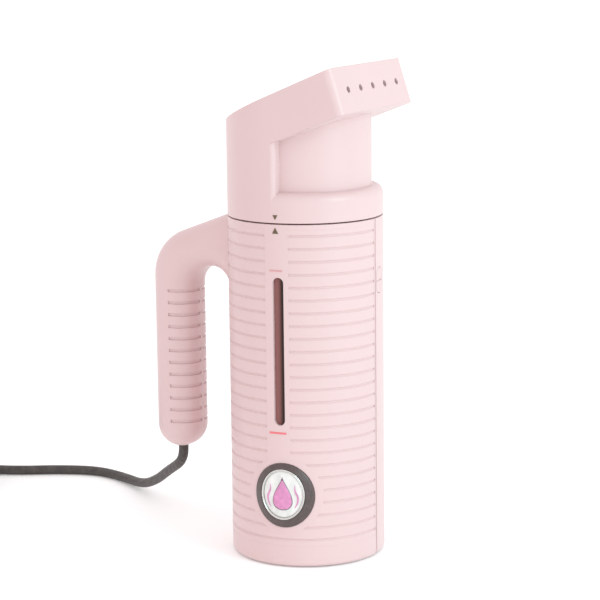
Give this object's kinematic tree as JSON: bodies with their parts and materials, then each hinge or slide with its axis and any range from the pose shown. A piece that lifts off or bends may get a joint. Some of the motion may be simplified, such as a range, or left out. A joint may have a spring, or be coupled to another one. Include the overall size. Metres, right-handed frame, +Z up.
{
  "type": "handheld garment steamer",
  "caption": "Upright handheld garment steamer: grooved round body with side handle, water window, lift-off spout head and mains lead.",
  "frame": {"origin": "on the body's axis, in the plane that the feet stand on", "axes": "+Z up along the body, +X out of the spout, -X to the handle, -Y to the side with the water window"},
  "size_m": [0.3919, 0.1373, 0.2684],
  "materials": {
    "pink_shell": "satin moulded",
    "smoked_window": "gloss smoked",
    "grey_mark": "printed",
    "red_mark": "printed",
    "bronze_mark": "printed",
    "badge_grey": "satin",
    "badge_silver": "polished",
    "badge_white": "pearl",
    "badge_pink": "enamel",
    "screw_steel": "plated",
    "black_rubber": "matte",
    "cord_rubber": "matte",
    "tie_plastic": "matte",
    "seal_silicone": "matte",
    "tank_plastic": "satin",
    "collar_plastic": "satin",
    "element_metal": "satin",
    "brass": "plain",
    "thermostat_metal": "plain",
    "block_plastic": "matte",
    "wire_jacket": "matte"
  },
  "bodies": {
    "housing_body": {"right_housing": "pink_shell", "left_housing": "pink_shell", "seam_clip": "pink_shell", "base_plate": "pink_shell", "sight_window": "smoked_window", "max_mark": "grey_mark", "min_mark": "red_mark", "body_arrow": "bronze_mark", "badge_bezel": "badge_grey", "badge_rim": "badge_silver", "badge_face": "badge_white", "badge_emblem": "badge_pink", "housing_screws": "screw_steel", "base_screws": "screw_steel", "rubber_feet": "black_rubber", "cord_strain_relief": "black_rubber", "power_cord": "cord_rubber", "cord_coil": "cord_rubber", "inner_cord": "cord_rubber", "plug_body": "cord_rubber", "cord_tie": "tie_plastic", "element_seals": "seal_silicone", "water_tank": "tank_plastic", "tank_cradle": "tank_plastic", "bayonet_ring": "collar_plastic", "heating_element": "element_metal", "element_nuts": "brass", "plug_blades": "brass", "thermostat": "thermostat_metal", "thermal_fuse": "thermostat_metal", "terminal_block": "block_plastic", "cord_clamp": "block_plastic", "lead_wires": "wire_jacket"},
    "seal_body": {"head_seal": "seal_silicone"},
    "head_body": {"steam_head_shell": "pink_shell", "head_lock_collar": "collar_plastic", "collar_screws": "screw_steel", "splash_baffle": "collar_plastic", "head_arrow": "bronze_mark"}
  },
  "joints": [
    {"name": "head_twist", "type": "hinge", "parent": "housing_body", "child": "seal_body", "pos_m": [0, 0, 0.186], "axis": [0, 0, 1], "range_deg": [0, 25]},
    {"name": "head_lift", "type": "slide", "parent": "seal_body", "child": "head_body", "axis": [0, 0, 1], "range_m": [0, 0.09]}
  ]
}
